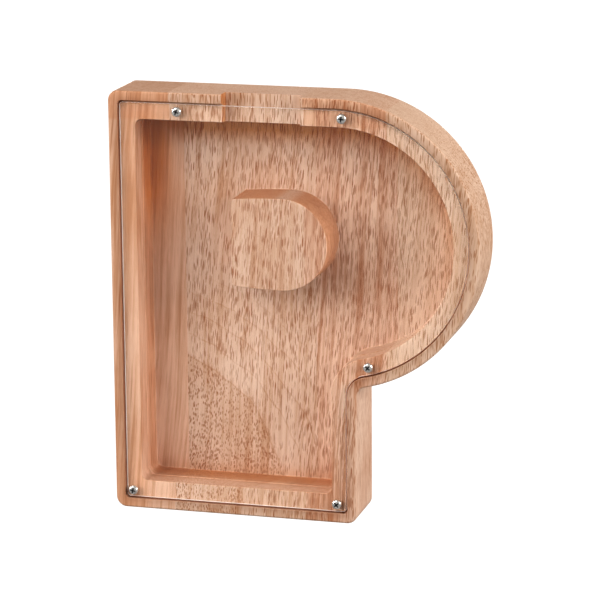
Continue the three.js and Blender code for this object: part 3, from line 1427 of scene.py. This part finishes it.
@dataclass(frozen=True)
class Studio:
    """A pale floor, soft lamps and the camera."""

    target: Vector = Vector((29.57, 0.0, 107.29)) * MM
    camera_distance: float = 1476.4 * MM
    camera_azimuth: float = math.radians(15.54)
    camera_elevation: float = math.radians(13.70)
    camera_roll: float = math.radians(-0.45)
    lens: float = 181.8
    sensor_width: float = 36.0
    farthest: float = 50.0
    gamma: float = 0.78
    world_colour: Colour = (1.0, 0.95, 0.9)
    world_strength: float = 0.68
    floor_size: float = 16.0

    def build_floor(self) -> None:
        """Lay the floor that the box stands on."""
        mesh = bmesh.new()
        bmesh.ops.create_grid(mesh, x_segments=1, y_segments=1, size=self.floor_size / 2)
        floor = to_object(mesh, "floor")
        floor.data.materials.append(floor_material())

    def build_lights(self) -> None:
        """Light the box softly from both sides, from above and from behind."""
        for lamp in (
            Lamp("key", Vector((-0.8, -1.9, 1.3)), 0.5, 0.5, 5.0),
            Lamp("high", Vector((-0.8, -1.2, 1.9)), 0.5, 0.5, 8.4),
            Lamp("left_fill", Vector((-2.0, -1.2, 0.7)), 1.0, 1.0, 24.7),
            Lamp("right_fill", Vector((2.1, -0.7, 0.9)), 1.2, 1.2, 31.4),
            Lamp("back_fill", Vector((2.1, 0.5, 0.7)), 1.2, 1.2, 7.0),
            Lamp("rear", Vector((-0.7, 2.3, 0.12)), 1.6, 0.16, 24.0),
        ):
            lamp.build(self.target)
        world = bpy.data.worlds.new("white_room")
        world.use_nodes = True
        background = world.node_tree.nodes["Background"]
        background.inputs["Color"].default_value = (*self.world_colour, 1.0)
        background.inputs["Strength"].default_value = self.world_strength
        bpy.context.scene.world = world

    def build_camera(self) -> None:
        """Set up the camera at the viewing angle."""
        away = Vector((
            math.sin(self.camera_azimuth) * math.cos(self.camera_elevation),
            -math.cos(self.camera_azimuth) * math.cos(self.camera_elevation),
            math.sin(self.camera_elevation),
        ))
        data = bpy.data.cameras.new("camera")
        data.lens = self.lens
        data.sensor_width = self.sensor_width
        data.clip_end = self.farthest
        camera = bpy.data.objects.new("camera", data)
        level = (-away).to_track_quat("-Z", "Y").to_matrix().to_4x4()
        roll = Matrix.Rotation(self.camera_roll, 4, "Z")
        place = Matrix.Translation(self.target + away * self.camera_distance)
        camera.matrix_world = place @ level @ roll
        bpy.context.scene.collection.objects.link(camera)
        bpy.context.scene.camera = camera

    def build(self) -> None:
        """Build the whole studio."""
        self.build_floor()
        self.build_lights()
        self.build_camera()
        view = bpy.context.scene.view_settings
        view.view_transform = "Standard"
        view.gamma = self.gamma


# Each stave's wood, with how much painted shade its part of the pocket takes.
WOODS = (
    WoodFinish(
        Slot.SMOOTH, pale=(0.75, 0.515, 0.385), deep=(0.52, 0.265, 0.14),
        vessel=(0.36, 0.14, 0.055), end_grain=(0.44, 0.265, 0.17),
        figure_centre=(-190.0, 60.0, 60.0), ring_spacing=(5.5, 7.5, 420.0),
        ring_contrast=0.3, streaks=0.42, vessels=0.14, oil=1.5, front_share=0.22,
    ),
    WoodFinish(
        Slot.BROWN, pale=(0.73, 0.55, 0.44), deep=(0.51, 0.28, 0.155),
        vessel=(0.36, 0.145, 0.055), end_grain=(0.58, 0.385, 0.275),
        figure_centre=(-57.0, 9.5, 4.0), ring_spacing=(10.6, 6.0, 10.6),
        ring_contrast=0.34, streaks=0.34, vessels=0.98, oil=1.6, heart=1.0, band=1.0,
        inner_rings=4.0, front_share=0.03,
    ),
    WoodFinish(
        Slot.RED, pale=(0.745, 0.545, 0.425), deep=(0.49, 0.235, 0.125),
        vessel=(0.36, 0.14, 0.055), end_grain=(0.60, 0.41, 0.29),
        figure_centre=(210.0, 70.0, 40.0), ring_spacing=(10.0, 14.0, 600.0),
        ring_contrast=0.25, streaks=0.48, vessels=0.92, oil=1.4, paler_sides=1.0, front_share=0.22,
    ),
    WoodFinish(
        Slot.TAN, pale=(0.74, 0.56, 0.44), deep=(0.54, 0.325, 0.2),
        vessel=(0.36, 0.155, 0.06), end_grain=(0.64, 0.46, 0.34),
        figure_centre=(260.0, 90.0, 110.0), ring_spacing=(10.0, 13.0, 500.0),
        ring_contrast=0.25, streaks=0.32, vessels=0.9, oil=1.0, front_share=0.08,
    ),
)

# How far each screw's cross is turned, in degrees.
SCREW_TURNS = {
    "top_left": 20.0, "top_right": 7.0, "bowl": 38.0, "foot_left": 12.0, "foot_right": 50.0,
}


def main() -> None:
    """Build every piece in order and report it."""
    logging.basicConfig(level=logging.INFO, format="%(name)s: %(message)s")
    studio = Studio()
    studio.build()

    first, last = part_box("stave_1"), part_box("stave_4")
    letter = Letter(left=first[0][0], right=last[1][0], top=first[1][2], front=first[0][1])
    body = WoodenBody(letter, thickness=first[1][1] - first[0][1])
    wood, oil, pocket = build_wood_group(build_pore_group()), build_shade_group(), body.pocket()
    finishes = {finish.slot: finish.material(wood, oil, pocket) for finish in WOODS}
    nickel, dull_and_shaded = nickel_material(), recess_material()

    screws = [
        CoverScrew(f"cover_screw_{name}", f"screw_{name}", math.radians(turn))
        for name, turn in SCREW_TURNS.items()
    ]
    body.build(screws, finishes)
    clear = acrylic_material(
        Slot.ACRYLIC.value, colour=(0.985, 0.985, 0.98), roughness=0.02, clearness=1.0
    )
    sawn = acrylic_material(
        "sawn_acrylic", colour=(0.93, 0.87, 0.84), roughness=0.3, clearness=0.55
    )
    Cover(letter).build(screws, clear, sawn)
    for screw in screws:
        screw.build(nickel, dull_and_shaded)


if __name__ == "__main__":
    main()
